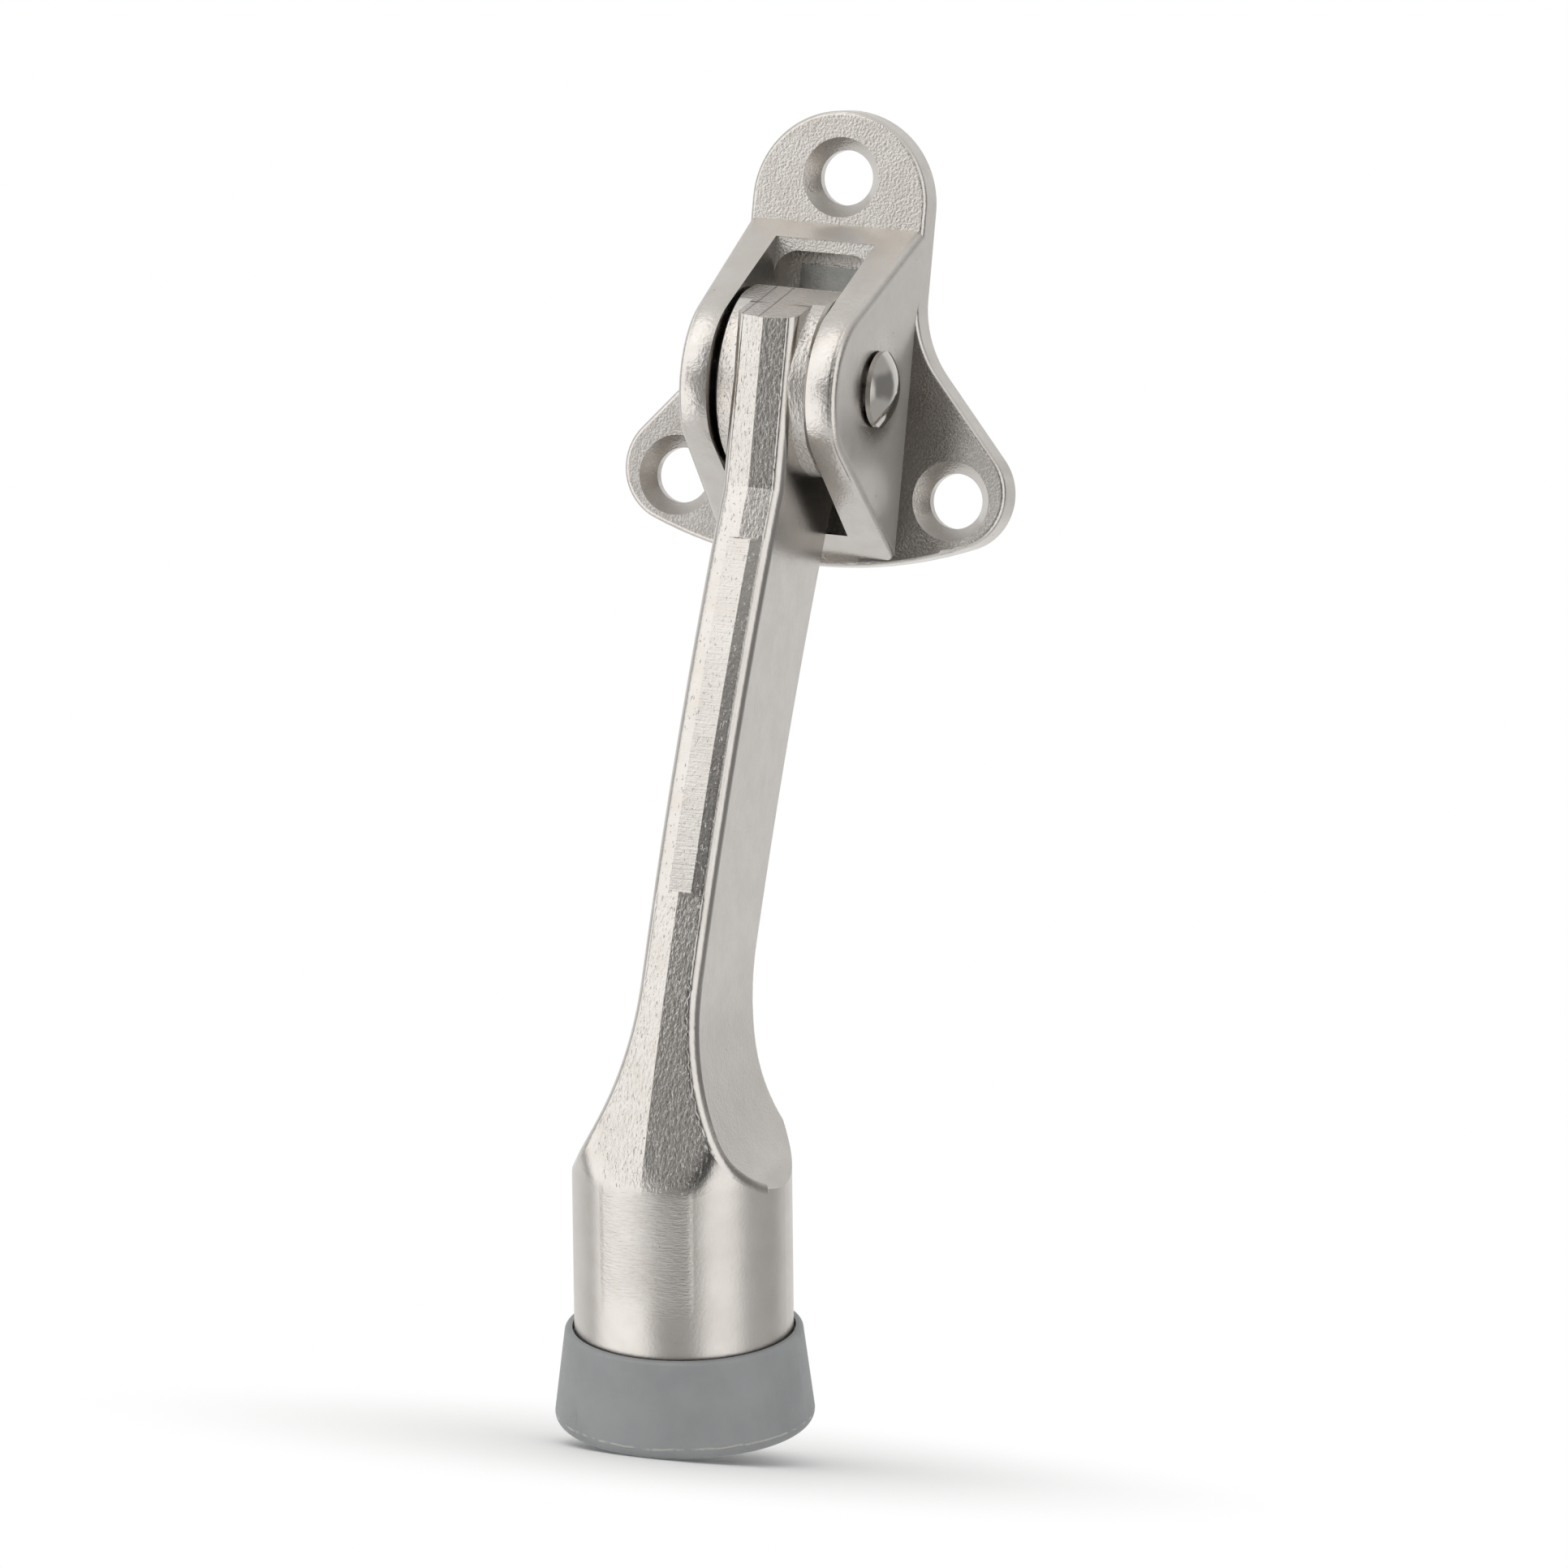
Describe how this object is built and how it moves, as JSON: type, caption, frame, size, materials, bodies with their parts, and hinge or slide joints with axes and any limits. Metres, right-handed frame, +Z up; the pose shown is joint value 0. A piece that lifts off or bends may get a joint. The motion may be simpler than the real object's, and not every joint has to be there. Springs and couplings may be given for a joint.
{
  "type": "kickdown door stop",
  "caption": "Cast door holder: a screw-on bracket with two cheeks carries a hinged lever that ends in a round foot with a rubber tip, held up or down by a leaf spring.",
  "frame": {"origin": "on the door face, midway between the two lower screw holes", "axes": "+Z up the door, +Y into the door, X along the hinge pin"},
  "size_m": [0.0392, 0.0324, 0.1285],
  "materials": {
    "nickel_casting": "satin nickel plate on a zinc die casting",
    "nickel_rivet": "bright nickel plated steel",
    "spring_steel": "dull spring steel",
    "grey_rubber": "matt moulded rubber",
    "plain_steel": "zinc plated steel"
  },
  "bodies": {
    "bracket": {"bracket": "nickel_casting", "pivot_rivet": "nickel_rivet", "leaf_spring": "spring_steel"},
    "arm": {"arm": "nickel_casting", "rubber_tip": "grey_rubber", "tip_washer": "plain_steel", "tip_screw": "plain_steel"}
  },
  "joints": [
    {"name": "arm_hinge", "type": "hinge", "parent": "bracket", "child": "arm", "pos_m": [0, -0.01065, 0.0101], "axis": [-1, 0, 0], "range_deg": [0, 108], "deforming": ["leaf_spring"]}
  ]
}
